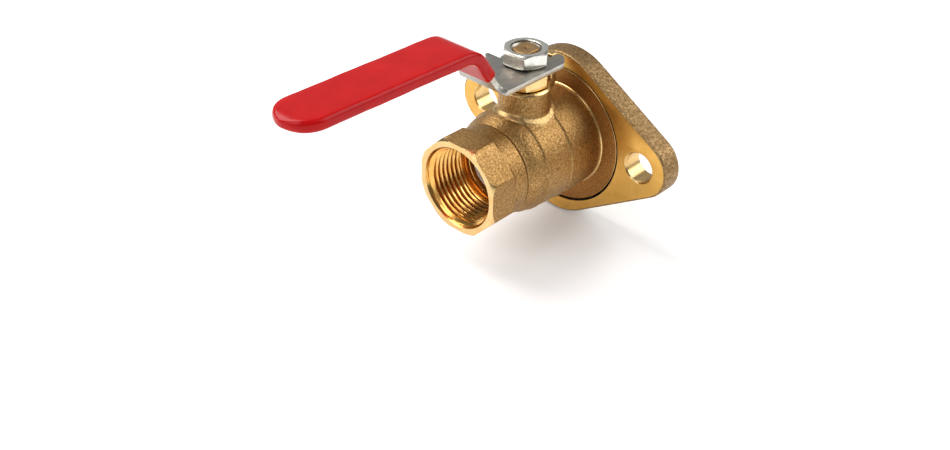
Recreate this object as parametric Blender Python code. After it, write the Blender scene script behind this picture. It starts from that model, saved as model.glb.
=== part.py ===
"""Two-piece brass ball valve with a rotating two-bolt pump flange and a lever handle.

Frame: origin at the centre of the pump sealing face, on the waterway axis.
+X runs along the waterway from the pump to the threaded pipe end, +Z runs up the stem.
The valve is at rest fully open, with the lever over the pipe end. All constants are in millimetres.
"""

import math

import bmesh
import bpy
from mathutils import Vector

MM = 0.001

# Pump flange
FLANGE_BACK_X = 0.65
FLANGE_FRONT_X = 9.80
FLANGE_EDGE_CHAMFER = 0.60
BOLT_SPACING = 80.2
BOLT_HOLE_R = 6.20
FLANGE_EAR_R = 12.75
FLANGE_WAIST_R = 24.0
FLANGE_WAIST_Z = 11.6
FLANGE_LIP_R = 29.7
FLANGE_COUNTERBORE_R = 32.1
FLANGE_COUNTERBORE_X = 4.95

# Body hub, the disc that the flange turns on
HUB_REAR_R = 31.75
HUB_FRONT_R = 29.0
HUB_STEP_X = 4.6
HUB_FACE_X = 9.5
HUB_RIM_R = 21.95
HUB_RIM_X = 9.85

# Body barrel
JOINT_X = 49.1
JOINT_R = 18.6
WATERWAY_R = 12.0
BODY_CAVITY_R = 17.1
SEAT_POCKET_R = 15.3

# Neck and stem
STEM_X = 31.6
NECK_R = 10.13
NECK_TOP_Z = 30.4
STEM_R = 5.0
STEM_COLLAR_R = 6.6
STEM_POCKET_R = 7.0
STEM_POCKET_TOP_Z = 21.0
GLAND_FLOOR_Z = 23.4
GLAND_R = 7.4
STEM_TOP_Z = 45.4
STEM_FLAT_HALF = 3.9
STEM_SHOULDER_Z = 37.5

# Stop lug on the neck
LUG_IN_X = 10.25
LUG_OUT_X = 13.7
LUG_HALF_Y = 4.3
LUG_TOP_Z = 40.2
LUG_FOOT_Z = 27.0

# Ball and seats
BALL_R = 16.8
PORT_R = 11.2
SEAT_INNER_R = 11.6
SEAT_OUTER_R = 15.0
SEAT_BACK = 15.6
SLOT_FLOOR_Z = 12.8
SLOT_HALF_X = 2.9
TANG_HALF_X = 2.5
TANG_HALF_Y = 4.6

# Threaded end
ADAPTER_NOSE_X = 41.0
ADAPTER_NOSE_R = 16.8
ADAPTER_COLLAR_R = 18.55
OCTAGON_START_X = 57.0
OCTAGON_ACROSS_FLATS = 37.2
OCTAGON_FACE_R = 18.9
END_X = 69.0
MOUTH_R = 16.6
THREAD_MOUTH_R = 15.2
THREAD_DEEP_R = 14.35
THREAD_END_X = 49.6

# Packing nut
PACKING_NUT_AF = 16.5
PACKING_NUT_Z0 = 30.7
PACKING_NUT_Z1 = 37.2
PACKING_NUT_THREAD_R = 7.1

# Lever
PLATE_Z0 = 37.7
PLATE_Z1 = 39.8
PLATE_HALF_Y = 11.5
PLATE_BEND_X = 23.5
BEND_HALF_Y = 11.4
LEVER_RISE_DEG = 56.0
GRIP_MID_Z = 58.42
GRIP_TILT_DEG = 1.18
LEVER_TIP_X = 117.6
STRIP_HALF_Y = 9.05
PLATE_CUT_R = 9.9
STOP_GAP = 0.3
SLEEVE_HALF_Y = 10.6
SLEEVE_HALF_T = 2.45
SLEEVE_START = 11.4

# Handle nut
HANDLE_NUT_AF = 16.5
HANDLE_NUT_Z0 = 40.1
HANDLE_NUT_Z1 = 45.85


def clear_scene():
    for obj in list(bpy.data.objects):
        bpy.data.objects.remove(obj, do_unlink=True)


def material(name, colour, roughness, metallic):
    mat = bpy.data.materials.new(name)
    mat.use_nodes = True
    shader = mat.node_tree.nodes["Principled BSDF"]
    shader.inputs["Base Color"].default_value = (*colour, 1.0)
    shader.inputs["Roughness"].default_value = roughness
    shader.inputs["Metallic"].default_value = metallic
    return mat


def make_object(name, verts, faces, origin=(0, 0, 0), mat=None):
    """An object of that name from millimetre points, with its origin at the given point."""
    base = Vector(origin)
    mesh = bpy.data.meshes.new(name)
    mesh.from_pydata([(Vector(v) - base) * MM for v in verts], [], faces)
    bm = bmesh.new()
    bm.from_mesh(mesh)
    bmesh.ops.remove_doubles(bm, verts=bm.verts, dist=1e-7)
    bmesh.ops.recalc_face_normals(bm, faces=bm.faces)
    bm.to_mesh(mesh)
    bm.free()
    obj = bpy.data.objects.new(name, mesh)
    obj.location = base * MM
    bpy.context.scene.collection.objects.link(obj)
    mesh.shade_smooth()
    mesh.set_sharp_from_angle(angle=math.radians(30))
    if mat:
        mesh.materials.append(mat)
    return obj


def even_angles(count, offset=0.0):
    return [offset + 2 * math.pi * k / count for k in range(count)]


def turn_about(axis, centre, along, radius, angle):
    """A point at that height along the axis, at radius and angle about it. Angles run from +Y about X, and from +X about Z."""
    c, s = radius * math.cos(angle), radius * math.sin(angle)
    if axis == "X":
        return (along, centre[1] + c, centre[2] + s)
    return (centre[0] + c, centre[1] + s, along)


def lathe(name, axis, centre, rings, angles, closed_loop, mat=None, origin=None):
    """A turned or lofted solid. Each ring is (along, radius), and either may be a function of the angle.

    closed_loop joins the last ring to the first, for a solid with a hole through it. Otherwise the two ends are capped.
    """
    verts, faces = [], []
    count = len(angles)
    for along, radius in rings:
        for angle in angles:
            a = along(angle) if callable(along) else along
            r = radius(angle) if callable(radius) else radius
            verts.append(turn_about(axis, centre, a, r, angle))
    pairs = [(i, i + 1) for i in range(len(rings) - 1)]
    if closed_loop:
        pairs.append((len(rings) - 1, 0))
    for i, j in pairs:
        for k in range(count):
            n = (k + 1) % count
            faces.append((i * count + k, i * count + n, j * count + n, j * count + k))
    if not closed_loop:
        faces.append(tuple(range(count)))
        faces.append(tuple((len(rings) - 1) * count + k for k in range(count)))
    return make_object(name, verts, faces, origin or centre, mat)


def prism(name, outline, axis, lo, hi, mat=None, origin=(0, 0, 0)):
    """A straight prism of a flat outline: (y, z) points for axis X, (x, y) points for axis Z."""
    n = len(outline)
    verts = []
    for level in (lo, hi):
        for p in outline:
            verts.append((level, *p) if axis == "X" else (*p, level))
    faces = [tuple(range(n)), tuple(range(n, 2 * n))]
    faces += [(k, (k + 1) % n, n + (k + 1) % n, n + k) for k in range(n)]
    return make_object(name, verts, faces, origin, mat)


def helper(obj):
    obj.hide_render = True
    obj.display_type = "WIRE"
    return obj


def boolean(obj, other, operation):
    helper(other)
    mod = obj.modifiers.new(operation.title() + " " + other.name, "BOOLEAN")
    mod.operation = operation
    mod.solver = "EXACT"
    mod.object = other


def polygon_radius(inradius, sides, offset):
    """The radius of a regular polygon as a function of angle, with a flat centred on the offset angle."""
    step = 2 * math.pi / sides

    def radius(angle):
        away = (angle - offset + step / 2) % step - step / 2
        return inradius / math.cos(away)

    return radius


def seat_profile(side):
    """(along, radius) loop of a seat ring on one side of the ball, clear of it along its conical face."""
    clear = BALL_R + 0.5
    inner = math.sqrt(clear**2 - SEAT_INNER_R**2)
    outer = math.sqrt(clear**2 - SEAT_OUTER_R**2)
    loop = [(inner, SEAT_INNER_R), (outer, SEAT_OUTER_R), (SEAT_BACK, SEAT_OUTER_R), (SEAT_BACK, SEAT_INNER_R)]
    return [(STEM_X + side * a, r) for a, r in loop]


def o_ring_profile(along, radius, cord, count=6):
    return [
        (along + cord * math.cos(2 * math.pi * k / count), radius + cord * math.sin(2 * math.pi * k / count))
        for k in range(count)
    ]


def flange_outline(inset):
    """The flange's outline: the tangent hull of two end circles and two waist circles, each smaller by the inset."""
    half = BOLT_SPACING / 2
    circles = [
        (half, 0, FLANGE_EAR_R - inset),
        (0, FLANGE_WAIST_Z, FLANGE_WAIST_R - inset),
        (-half, 0, FLANGE_EAR_R - inset),
        (0, -FLANGE_WAIST_Z, FLANGE_WAIST_R - inset),
    ]
    # The tangent line from an end circle to a waist circle touches both at the same normal angle.
    dy, dz = -half, FLANGE_WAIST_Z
    reach = math.hypot(dy, dz)
    normal = math.atan2(dz, dy) - math.acos((FLANGE_EAR_R - FLANGE_WAIST_R) / reach)
    spans = [(-normal, normal, 8), (normal, math.pi - normal, 10), (math.pi - normal, math.pi + normal, 8), (math.pi + normal, 2 * math.pi - normal, 10)]
    points = []
    for (cy, cz, r), (a0, a1, count) in zip(circles, spans):
        for k in range(count + 1):
            a = a0 + (a1 - a0) * k / count
            points.append((cy + r * math.cos(a), cz + r * math.sin(a)))
    return points


def lever_path():
    """The lever's bent middle line: (distance, x, z, tangent angle), from the lower bend's start to the tip."""
    rise, tilt = math.radians(LEVER_RISE_DEG), math.radians(GRIP_TILT_DEG)
    mid0 = (PLATE_Z0 + PLATE_Z1) / 2
    foot = Vector((PLATE_BEND_X, mid0))
    head = Vector((PLATE_BEND_X + (GRIP_MID_Z - mid0) / math.tan(rise), GRIP_MID_Z))
    low_r, high_r = 4.7, 10.0
    points = []

    def arc(vertex, radius, a0, a1, count):
        cut = radius * math.tan(abs(a1 - a0) / 2)
        start = vertex - cut * Vector((math.cos(a0), math.sin(a0)))
        side = 1 if a1 > a0 else -1
        centre = start + radius * side * Vector((-math.sin(a0), math.cos(a0)))
        for k in range(count + 1):
            a = a0 + (a1 - a0) * k / count
            p = centre - radius * side * Vector((-math.sin(a), math.cos(a)))
            points.append((p.x, p.y, a))

    arc(foot, low_r, 0.0, rise, 4)
    arc(head, high_r, rise, tilt, 5)
    points.append((LEVER_TIP_X, GRIP_MID_Z + (LEVER_TIP_X - head.x) * math.tan(tilt), tilt))
    out, total = [], 0.0
    for i, (x, z, a) in enumerate(points):
        if i:
            total += math.hypot(x - points[i - 1][0], z - points[i - 1][1])
        out.append((total, x, z, a))
    return out


def on_path(path, distance):
    """(x, z, tangent angle) at that distance along the path."""
    distance = min(max(distance, 0.0), path[-1][0])
    for (s0, x0, z0, a0), (s1, x1, z1, a1) in zip(path, path[1:]):
        if distance <= s1:
            f = (distance - s0) / (s1 - s0)
            return (x0 + f * (x1 - x0), z0 + f * (z1 - z0), a0 + f * (a1 - a0))
    return path[-1][1:]


def section(path, distance, corners):
    """Points of one cross-section of the lever: corners are (y, height above the middle line)."""
    x, z, a = on_path(path, distance)
    return [(STEM_X + x - h * math.sin(a), y, z + h * math.cos(a)) for y, h in corners]


clear_scene()

blasted_brass = material("blasted_brass", (0.36, 0.24, 0.10), 0.45, 0.9)
machined_brass = material("machined_brass", (0.72, 0.47, 0.16), 0.25, 1.0)
flange_brass = material("flange_brass", (0.66, 0.43, 0.16), 0.3, 1.0)
gland_brass = material("gland_brass", (0.70, 0.50, 0.20), 0.22, 1.0)
stem_brass = material("stem_brass", (0.62, 0.42, 0.18), 0.35, 1.0)
plated_ball = material("plated_ball", (0.75, 0.76, 0.78), 0.08, 1.0)
seat_polymer = material("seat_polymer", (0.85, 0.85, 0.82), 0.5, 0.0)
packing_polymer = material("packing_polymer", (0.80, 0.80, 0.77), 0.55, 0.0)
washer_polymer = material("washer_polymer", (0.62, 0.58, 0.50), 0.5, 0.0)
black_rubber = material("black_rubber", (0.02, 0.02, 0.02), 0.6, 0.0)
zinc_steel = material("zinc_steel", (0.42, 0.43, 0.44), 0.4, 1.0)
red_vinyl = material("red_vinyl", (0.70, 0.02, 0.02), 0.22, 0.0)
bright_steel = material("bright_steel", (0.72, 0.71, 0.68), 0.22, 1.0)

AXIS = (0.0, 0.0, 0.0)
STEM = (STEM_X, 0.0, 0.0)
ring40 = even_angles(40)

# ---- Valve body: hub, barrel, neck and stop lug in one casting ----
barrel = [
    (0.0, HUB_REAR_R - 0.5),
    (0.5, HUB_REAR_R),
    (HUB_STEP_X, HUB_REAR_R),
    (HUB_STEP_X, HUB_FRONT_R),
    (6.3, HUB_FRONT_R),
    (6.3, HUB_FRONT_R - 0.85),
    (7.7, HUB_FRONT_R - 0.85),
    (7.7, HUB_FRONT_R),
    (HUB_FACE_X - 0.3, HUB_FRONT_R),
    (HUB_FACE_X, HUB_FRONT_R - 0.3),
    (HUB_FACE_X, HUB_RIM_R + 0.15),
    (HUB_RIM_X, HUB_RIM_R),
    (HUB_RIM_X + 0.4, 21.7),
    (17.7, 21.7),
    (26.3, 21.65),
    (27.0, 21.3),
    (34.5, 21.2),
    (40.3, 20.95),
    (44.3, 20.15),
    (46.8, 19.3),
    (JOINT_X, JOINT_R),
]
valve_body = lathe("valve_body", "X", AXIS, barrel, even_angles(56), False, blasted_brass)
neck = lathe(
    "neck_blank", "Z", STEM,
    [(8.0, NECK_R), (18.5, NECK_R + 1.2), (21.0, NECK_R + 0.35), (23.0, NECK_R), (NECK_TOP_Z - 0.8, NECK_R), (NECK_TOP_Z, NECK_R - 0.8)],
    even_angles(36), False,
)
boolean(valve_body, neck, "UNION")
lug_side = [
    (STEM_X - 8.6, LUG_FOOT_Z - 4.6),
    (STEM_X - LUG_OUT_X, LUG_FOOT_Z),
    (STEM_X - LUG_OUT_X, LUG_TOP_Z),
    (STEM_X - LUG_IN_X, LUG_TOP_Z),
    (STEM_X - LUG_IN_X, NECK_TOP_Z - 1.6),
    (STEM_X - 8.6, NECK_TOP_Z - 1.6),
]
lug_verts = [(x, y, z) for y in (-LUG_HALF_Y, LUG_HALF_Y) for x, z in lug_side]
lug_faces = [tuple(range(6)), tuple(range(6, 12))] + [(k, (k + 1) % 6, 6 + (k + 1) % 6, 6 + k) for k in range(6)]
boolean(valve_body, make_object("lug_blank", lug_verts, lug_faces), "UNION")
ball_space = lathe(
    "ball_space", "X", AXIS,
    [
        (-1.0, WATERWAY_R),
        (STEM_X - SEAT_BACK - 0.3, WATERWAY_R),
        (STEM_X - SEAT_BACK - 0.3, SEAT_POCKET_R),
        (22.2, SEAT_POCKET_R),
        (22.2, BODY_CAVITY_R),
        (JOINT_X + 1.0, BODY_CAVITY_R),
    ],
    even_angles(48), False,
)
boolean(valve_body, ball_space, "DIFFERENCE")
stem_space = lathe(
    "stem_space", "Z", STEM,
    [
        (10.0, STEM_POCKET_R),
        (STEM_POCKET_TOP_Z, STEM_POCKET_R),
        (STEM_POCKET_TOP_Z, STEM_R + 0.35),
        (GLAND_FLOOR_Z, STEM_R + 0.35),
        (GLAND_FLOOR_Z, GLAND_R),
        (NECK_TOP_Z + 0.9, GLAND_R),
    ],
    even_angles(32), False,
)
boolean(valve_body, stem_space, "DIFFERENCE")

# ---- Threaded end, screwed into the body ----
octagon = polygon_radius(OCTAGON_ACROSS_FLATS / 2, 8, math.pi / 2)
end_adapter = lathe(
    "end_adapter", "X", AXIS,
    [
        (ADAPTER_NOSE_X, SEAT_POCKET_R),
        (ADAPTER_NOSE_X, ADAPTER_NOSE_R - 0.4),
        (ADAPTER_NOSE_X + 0.6, ADAPTER_NOSE_R),
        (47.6, ADAPTER_NOSE_R),
        (47.6, ADAPTER_NOSE_R - 1.2),
        (49.0, ADAPTER_NOSE_R - 1.2),
        (JOINT_X + 0.3, ADAPTER_NOSE_R),
        (JOINT_X + 0.3, ADAPTER_COLLAR_R - 0.3),
        (JOINT_X + 0.6, ADAPTER_COLLAR_R),
        (OCTAGON_START_X - 1.2, ADAPTER_COLLAR_R),
        (OCTAGON_START_X, octagon),
        (lambda a: END_X - max(octagon(a) - OCTAGON_FACE_R, 0.05), octagon),
        (END_X, lambda a: min(octagon(a) - 0.05, OCTAGON_FACE_R)),
        (END_X, MOUTH_R),
        (END_X - 1.3, THREAD_MOUTH_R),
        (THREAD_END_X, THREAD_DEEP_R),
        (THREAD_END_X, WATERWAY_R),
        (STEM_X + SEAT_BACK + 0.3, WATERWAY_R),
        (STEM_X + SEAT_BACK + 0.3, SEAT_POCKET_R),
    ],
    even_angles(48, math.radians(7.5)), True, machined_brass,
)

# ---- Seals in the body joint and under the flange ----
lathe("body_joint_o_ring", "X", AXIS, o_ring_profile(48.25, 16.3, 0.55), ring40, True, black_rubber)
lathe("flange_o_ring", "X", AXIS, o_ring_profile(7.0, 28.85, 0.5), even_angles(48), True, black_rubber)

# ---- Rotating two-bolt flange ----
rings = [(FLANGE_BACK_X, 0.3), (FLANGE_BACK_X + 0.3, 0.0), (FLANGE_FRONT_X - FLANGE_EDGE_CHAMFER, 0.0), (FLANGE_FRONT_X, FLANGE_EDGE_CHAMFER)]
verts, faces = [], []
for level, inset in rings:
    verts += [(level, y, z) for y, z in flange_outline(inset)]
n = len(flange_outline(0.0))
for i in range(len(rings) - 1):
    faces += [(i * n + k, i * n + (k + 1) % n, (i + 1) * n + (k + 1) % n, (i + 1) * n + k) for k in range(n)]
faces += [tuple(range(n)), tuple(3 * n + k for k in range(n))]
pump_flange = make_object("pump_flange", verts, faces, AXIS, flange_brass)
flange_bore = lathe(
    "flange_bore", "X", AXIS,
    [(FLANGE_BACK_X - 1, FLANGE_COUNTERBORE_R), (FLANGE_COUNTERBORE_X, FLANGE_COUNTERBORE_R), (FLANGE_COUNTERBORE_X, FLANGE_LIP_R), (FLANGE_FRONT_X + 1, FLANGE_LIP_R)],
    even_angles(72), False,
)
boolean(pump_flange, flange_bore, "DIFFERENCE")
for side in (1, -1):
    hole = lathe(
        "bolt_hole_" + ("a" if side > 0 else "b"), "X", (0.0, side * BOLT_SPACING / 2, 0.0),
        [(FLANGE_BACK_X - 1, BOLT_HOLE_R), (FLANGE_FRONT_X + 1, BOLT_HOLE_R)], even_angles(32), False,
    )
    boolean(pump_flange, hole, "DIFFERENCE")

# ---- Ball, with its port along X and its slot along Y when open ----
edge = math.acos(PORT_R / BALL_R)
arc = [(-edge + 2 * edge * k / 12) for k in range(13)]
ball = lathe(
    "ball", "X", STEM,
    [(STEM_X + BALL_R * math.sin(a), BALL_R * math.cos(a)) for a in arc],
    ring40, True, plated_ball,
)
slot = [(STEM_X - SLOT_HALF_X, -12.0), (STEM_X + SLOT_HALF_X, -12.0), (STEM_X + SLOT_HALF_X, 12.0), (STEM_X - SLOT_HALF_X, 12.0)]
boolean(ball, prism("ball_slot", slot, "Z", SLOT_FLOOR_Z, 20.0), "DIFFERENCE")

# ---- Seat rings ----
lathe("seat_ring_pump_side", "X", AXIS, seat_profile(-1), ring40, True, seat_polymer)
lathe("seat_ring_pipe_side", "X", AXIS, seat_profile(1), ring40, True, seat_polymer)

# ---- Stem: tang, collar with a groove, shaft and two flats at the top ----
flat_corner = math.asin(STEM_FLAT_HALF / STEM_R)
tang_corner = math.atan2(TANG_HALF_Y, TANG_HALF_X)
quarter = [0.0, 0.2, 0.4, 0.62, flat_corner, 0.5 * (flat_corner + tang_corner), tang_corner, 1.25, 1.41, math.pi / 2]
stem_angles = quarter + [math.pi - a for a in reversed(quarter[:-1])]
stem_angles += [math.pi + a for a in quarter[1:]] + [2 * math.pi - a for a in reversed(quarter[1:-1])]


def tang(angle):
    c, s = abs(math.cos(angle)), abs(math.sin(angle))
    return min(TANG_HALF_X / max(c, 1e-9), TANG_HALF_Y / max(s, 1e-9))


def double_d(radius):
    return lambda angle: min(radius, STEM_FLAT_HALF / max(abs(math.sin(angle)), 1e-9))


lathe(
    "stem", "Z", STEM,
    [
        (SLOT_FLOOR_Z + 0.4, tang),
        (17.3, tang),
        (17.3, STEM_COLLAR_R),
        (18.0, STEM_COLLAR_R),
        (18.0, 5.5),
        (19.3, 5.5),
        (19.3, STEM_COLLAR_R),
        (19.7, STEM_COLLAR_R),
        (19.7, STEM_R),
        (STEM_SHOULDER_Z, STEM_R),
        (STEM_SHOULDER_Z, double_d(STEM_R)),
        (STEM_TOP_Z - 0.3, double_d(STEM_R)),
        (STEM_TOP_Z, double_d(STEM_R - 0.3)),
    ],
    stem_angles, False, stem_brass,
)
ring28 = even_angles(28)
lathe("stem_o_ring", "Z", STEM, o_ring_profile(18.65, 6.2, 0.55), ring28, True, black_rubber)
lathe(
    "stem_thrust_washer", "Z", STEM,
    [(19.95, STEM_R + 0.25), (19.95, STEM_COLLAR_R), (20.75, STEM_COLLAR_R), (20.75, STEM_R + 0.25)],
    ring28, True, washer_polymer,
)

# ---- Packing stack and packing nut ----
inner, outer = STEM_R + 0.25, GLAND_R - 0.25
for name, low, high in (("packing_ring_lower", 23.6, 24.75), ("packing_ring_middle", 24.95, 26.1), ("packing_ring_upper", 26.3, 27.45)):
    lathe(name, "Z", STEM, [(low, inner), (low, outer), (high, outer), (high, inner)], ring28, True, packing_polymer)
hexagon = polygon_radius(PACKING_NUT_AF / 2, 6, math.radians(15))
face_r = PACKING_NUT_AF / 2 - 0.25
lathe(
    "packing_nut", "Z", STEM,
    [
        (27.7, STEM_R + 0.3),
        (27.7, PACKING_NUT_THREAD_R - 0.4),
        (28.1, PACKING_NUT_THREAD_R),
        (PACKING_NUT_Z0, PACKING_NUT_THREAD_R),
        (PACKING_NUT_Z0, face_r),
        (lambda a: PACKING_NUT_Z0 + 0.5 * (hexagon(a) - face_r), hexagon),
        (lambda a: PACKING_NUT_Z1 - 0.5 * (hexagon(a) - face_r), hexagon),
        (PACKING_NUT_Z1, face_r),
        (PACKING_NUT_Z1, STEM_R + 0.3),
    ],
    even_angles(36, math.radians(5)), True, gland_brass,
)

# ---- Lever: stop plate, rising web and grip strip, pressed from one sheet ----
path = lever_path()
length = path[-1][0]
half_t = (PLATE_Z1 - PLATE_Z0) / 2
stop = LUG_HALF_Y + STOP_GAP
start_x = path[0][1]
cut_from = math.pi + math.asin(-stop / PLATE_CUT_R)
cut_to = 1.5 * math.pi + math.asin(stop / PLATE_CUT_R)
outline = [(start_x, BEND_HALF_Y), (-8.6, PLATE_HALF_Y), (-10.0, 11.1), (-12.4, 8.8), (-13.5, 7.3), (-13.7, 6.0), (-13.3, stop)]
outline += [
    (PLATE_CUT_R * math.cos(cut_from + (cut_to - cut_from) * k / 14), PLATE_CUT_R * math.sin(cut_from + (cut_to - cut_from) * k / 14))
    for k in range(15)
]
outline += [(stop, -14.6), (5.1, -15.2), (5.9, -15.1), (6.8, -14.3), (8.6, -12.5), (10.4, -PLATE_HALF_Y), (start_x, -BEND_HALF_Y)]
outline = [(STEM_X + x, y) for x, y in outline]
n = len(outline)
verts = [(x, y, PLATE_Z0) for x, y in outline] + [(x, y, PLATE_Z1) for x, y in outline]
faces = [tuple(range(n)), tuple(range(n, 2 * n))] + [(k, k + 1, n + k + 1, n + k) for k in range(n - 1)]


def strip_half(distance):
    """Half width of the strip: it narrows up the web, and ends in a half circle."""
    narrow = min(max((distance - 2.2) / 5.3, 0.0), 1.0)
    narrow = narrow * (2 - narrow)
    width = BEND_HALF_Y + (STRIP_HALF_Y - BEND_HALF_Y) * narrow
    end = distance - (length - 1.8 - STRIP_HALF_Y)
    if end > 0:
        width = math.sqrt(max(STRIP_HALF_Y**2 - end**2, 0.09))
    return width


strip_end = length - 1.8
stations = [s for s, *_ in path[1:-1]]
stations += [2.9, 5.8, 7.5]
stations += [strip_end - STRIP_HALF_Y + STRIP_HALF_Y * f for f in (0.0, 0.35, 0.62, 0.82, 0.94, 1.0)]
stations = sorted(stations)
last = (n - 1, 0, n, 2 * n - 1)  # +Y and -Y corners of the plate's front edge, low then high
rows = [[n - 1, 0, n, 2 * n - 1]]
for s in stations:
    w = strip_half(s)
    base = len(verts)
    verts += section(path, s, [(-w, -half_t), (w, -half_t), (w, half_t), (-w, half_t)])
    rows.append([base, base + 1, base + 2, base + 3])
for a, b in zip(rows, rows[1:]):
    faces += [(a[k], a[(k + 1) % 4], b[(k + 1) % 4], b[k]) for k in range(4)]
faces.append(tuple(rows[-1]))
handle_lever = make_object("handle_lever", verts, faces, STEM, zinc_steel)
hole_angles = [a for a in stem_angles]
lever_hole = lathe(
    "lever_hole", "Z", STEM,
    [(PLATE_Z0 - 1, lambda a: double_d(STEM_R)(a) + 0.3), (PLATE_Z1 + 1, lambda a: double_d(STEM_R)(a) + 0.3)],
    hole_angles, False,
)
boolean(handle_lever, lever_hole, "DIFFERENCE")

# ---- Dipped vinyl sleeve over the grip ----


def sleeve_half(distance, half, end):
    over = distance - (end - half)
    return math.sqrt(max(half**2 - over**2, 0.3)) if over > 0 else half


def rounded(w, t, r):
    """Eight-sided rounded section."""
    r = min(r, 0.9 * w)
    return [(-w + r, -t), (w - r, -t), (w, -t + r), (w, t - r), (w - r, t), (-w + r, t), (-w, t - r), (-w, -t + r)]


def boxed(w, t):
    return rounded(w, t, 0.3)


outer_stations = sorted([SLEEVE_START, SLEEVE_START + 4.0] + [s for s, *_ in path if s > SLEEVE_START + 4.8 and s < length - 1] + [length - SLEEVE_HALF_Y + SLEEVE_HALF_Y * f for f in (0.0, 0.35, 0.62, 0.82, 0.94, 1.0)])
inner_end = strip_end + 0.3
inner_stations = sorted([SLEEVE_START] + [s for s, *_ in path if s > SLEEVE_START + 0.8 and s < length - 1] + [inner_end - STRIP_HALF_Y - 0.3 + (STRIP_HALF_Y + 0.3) * f for f in (0.0, 0.35, 0.62, 0.82, 0.94, 1.0)])
verts, faces, rows = [], [], []
for s in reversed(inner_stations):
    w = sleeve_half(s, STRIP_HALF_Y + 0.3, inner_end)
    base = len(verts)
    verts += section(path, s, boxed(w, half_t + 0.3))
    rows.append(base)
for s in outer_stations:
    w = sleeve_half(s, SLEEVE_HALF_Y, length)
    end = max(0.0, (s - (length - SLEEVE_HALF_Y)) / SLEEVE_HALF_Y)
    thick = SLEEVE_HALF_T * (1.0 - 0.25 * end**4)
    w -= 0.7 * max(0.0, 1.0 - (s - SLEEVE_START) / 4.0)
    base = len(verts)
    verts += section(path, s, rounded(w, thick, 1.2))
    rows.append(base)
for a, b in zip(rows, rows[1:]):
    faces += [(a + k, a + (k + 1) % 8, b + (k + 1) % 8, b + k) for k in range(8)]
faces += [tuple(rows[0] + k for k in range(8)), tuple(rows[-1] + k for k in range(8))]
make_object("lever_sleeve", verts, faces, STEM, red_vinyl)

# ---- Handle nut ----
nut_hex = polygon_radius(HANDLE_NUT_AF / 2, 6, math.radians(7.7))
nut_face = HANDLE_NUT_AF / 2 - 0.3
lathe(
    "handle_nut", "Z", STEM,
    [
        (HANDLE_NUT_Z0, STEM_R + 0.9),
        (HANDLE_NUT_Z0, nut_face),
        (lambda a: HANDLE_NUT_Z0 + 0.45 * (nut_hex(a) - nut_face), nut_hex),
        (lambda a: HANDLE_NUT_Z1 - 0.55 * (nut_hex(a) - nut_face), nut_hex),
        (HANDLE_NUT_Z1, nut_face),
        (HANDLE_NUT_Z1, STEM_R + 1.3),
        (HANDLE_NUT_Z1 - 1.0, STEM_R + 0.3),
        (HANDLE_NUT_Z0 + 0.6, STEM_R + 0.3),
    ],
    even_angles(36, math.radians(7.7)), True, bright_steel,
)
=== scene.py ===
"""Looks of the brass ball valve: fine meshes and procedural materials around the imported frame."""

import math

import bmesh
import bpy
from mathutils import Matrix, Vector


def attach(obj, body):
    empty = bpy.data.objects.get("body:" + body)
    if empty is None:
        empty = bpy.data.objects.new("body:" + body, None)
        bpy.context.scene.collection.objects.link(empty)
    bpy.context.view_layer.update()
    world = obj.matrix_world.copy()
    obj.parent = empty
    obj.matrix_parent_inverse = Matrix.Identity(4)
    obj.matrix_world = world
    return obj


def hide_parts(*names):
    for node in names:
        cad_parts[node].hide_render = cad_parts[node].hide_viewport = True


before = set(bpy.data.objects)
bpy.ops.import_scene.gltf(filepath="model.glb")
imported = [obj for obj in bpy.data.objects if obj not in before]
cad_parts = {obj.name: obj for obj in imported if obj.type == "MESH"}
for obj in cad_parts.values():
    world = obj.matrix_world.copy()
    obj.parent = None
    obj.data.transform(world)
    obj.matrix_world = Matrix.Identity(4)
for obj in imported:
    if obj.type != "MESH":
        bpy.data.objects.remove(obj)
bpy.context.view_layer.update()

MM = 0.001
AXIS = (0.0, 0.0, 0.0)
STEM_X = 31.6
STEM = (STEM_X, 0.0, 0.0)
TAU = 2 * math.pi


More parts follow.
